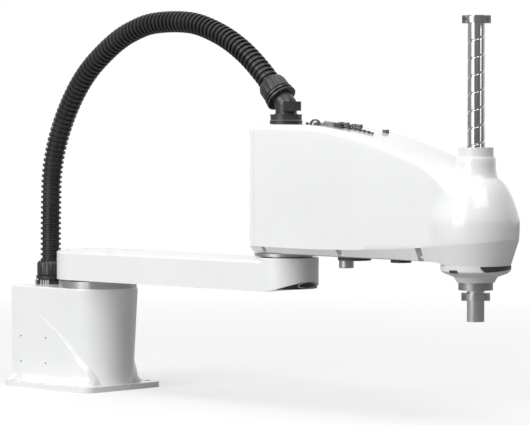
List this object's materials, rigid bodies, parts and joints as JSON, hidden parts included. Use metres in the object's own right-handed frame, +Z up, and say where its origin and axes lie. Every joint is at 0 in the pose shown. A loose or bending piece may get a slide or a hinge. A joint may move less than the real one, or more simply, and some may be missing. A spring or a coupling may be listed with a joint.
{
  "type": "scara robot",
  "caption": "Four-axis SCARA robot on a footed base: two swinging arms, a lifting and turning ball screw spline shaft, and a corrugated cable duct arching from base to second arm.",
  "frame": {"origin": "on the first joint's axis, on the mounting face under the foot plate", "axes": "+Z up along the first joint, +X along the stretched arms at rest"},
  "size_m": [1.0155, 0.172, 0.6097],
  "materials": {
    "white_casting": "gloss white paint",
    "white_cover": "gloss",
    "light_casting": "satin",
    "bright_steel": "ground",
    "black_plastic": "matte",
    "motor_black": "matte black",
    "belt_rubber": "matte",
    "grey_plastic": "satin",
    "nickel_brass": "nickel plated"
  },
  "bodies": {
    "base": {"base_housing": "white_casting", "rear_panel": "light_casting", "power_socket": "black_plastic", "signal_socket": "black_plastic", "air_port_1": "nickel_brass", "air_port_2": "nickel_brass", "air_port_3": "nickel_brass", "j1_bearing_ring": "bright_steel", "j1_reducer": "bright_steel", "j1_motor": "motor_black", "duct_flange": "black_plastic", "duct_nut": "black_plastic", "hose_lower": "black_plastic"},
    "arm_1": {"j1_hub": "bright_steel", "arm_1_casting": "white_casting", "arm_1_screws": "bright_steel", "arm_1_end_cover": "black_plastic", "j2_reducer": "white_casting"},
    "arm_2": {"j2_output": "bright_steel", "arm_2_cover": "white_cover", "arm_2_rear_cap": "white_cover", "arm_2_floor": "light_casting", "nose_flange": "white_casting", "nose_ring": "bright_steel", "neck_ring": "bright_steel", "spline_bearing": "bright_steel", "screw_bracket": "light_casting", "z_motor": "motor_black", "r_motor": "motor_black", "z_belt": "belt_rubber", "r_belt": "belt_rubber", "j2_motor": "motor_black", "stop_pin": "bright_steel", "floor_plug_1": "black_plastic", "floor_plug_2": "black_plastic", "signal_hoop": "grey_plastic", "top_connector": "grey_plastic", "air_fitting_1": "nickel_brass", "air_fitting_2": "nickel_brass", "brake_button": "nickel_brass", "elbow_flange": "black_plastic"},
    "duct_elbow": {"elbow": "black_plastic", "elbow_nut": "black_plastic", "elbow_clip": "black_plastic", "hose_upper": "black_plastic"},
    "spline_nut": {"spline_nut": "bright_steel", "spline_pulley": "bright_steel"},
    "screw_nut": {"screw_nut": "bright_steel", "screw_pulley": "bright_steel"},
    "z_pulley": {"z_motor_pulley": "bright_steel"},
    "r_pulley": {"r_motor_pulley": "bright_steel"},
    "shaft": {"shaft": "bright_steel", "upper_collar": "bright_steel", "lower_collar": "bright_steel"}
  },
  "joints": [
    {"name": "j1", "type": "hinge", "parent": "base", "child": "arm_1", "pos_m": [0, 0, 0.17], "axis": [0, 0, 1], "range_deg": [-125, 125], "deforming": ["hose_lower"]},
    {"name": "j2", "type": "hinge", "parent": "arm_1", "child": "arm_2", "pos_m": [0.425, 0, 0.23], "axis": [0, 0, 1], "range_deg": [-145, 145]},
    {"name": "duct_swivel", "type": "hinge", "parent": "arm_2", "child": "duct_elbow", "pos_m": [0.425, 0, 0.437], "axis": [0, 0, 1], "range_deg": [-145, 145]},
    {"name": "shaft_turn", "type": "hinge", "parent": "arm_2", "child": "spline_nut", "pos_m": [0.8, 0, 0.3], "axis": [0, 0, 1], "range_deg": [-360, 360]},
    {"name": "z_slide", "type": "slide", "parent": "spline_nut", "child": "shaft", "axis": [0, 0, 1], "range_m": [-0.17, 0]},
    {"name": "screw_turn", "type": "hinge", "parent": "spline_nut", "child": "screw_nut", "pos_m": [0.8, 0, 0.35], "axis": [0, 0, 1], "range_deg": [-2448, 2448]},
    {"name": "z_pulley_turn", "type": "hinge", "parent": "arm_2", "child": "z_pulley", "pos_m": [0.64, 0, 0.32], "axis": [0, 0, 1], "range_deg": [-5250, 5250]},
    {"name": "r_pulley_turn", "type": "hinge", "parent": "arm_2", "child": "r_pulley", "pos_m": [0.715, 0, 0.3], "axis": [0, 0, 1], "range_deg": [-1025, 1025]}
  ],
  "couplings": [
    {"joint": "duct_swivel", "follows": "j2", "ratio": -1},
    {"joint": "screw_turn", "follows": "z_slide", "rad_per_m": 251.33},
    {"joint": "z_pulley_turn", "follows": "z_slide", "rad_per_m": 538.56},
    {"joint": "r_pulley_turn", "follows": "shaft_turn", "ratio": 2.8333}
  ]
}
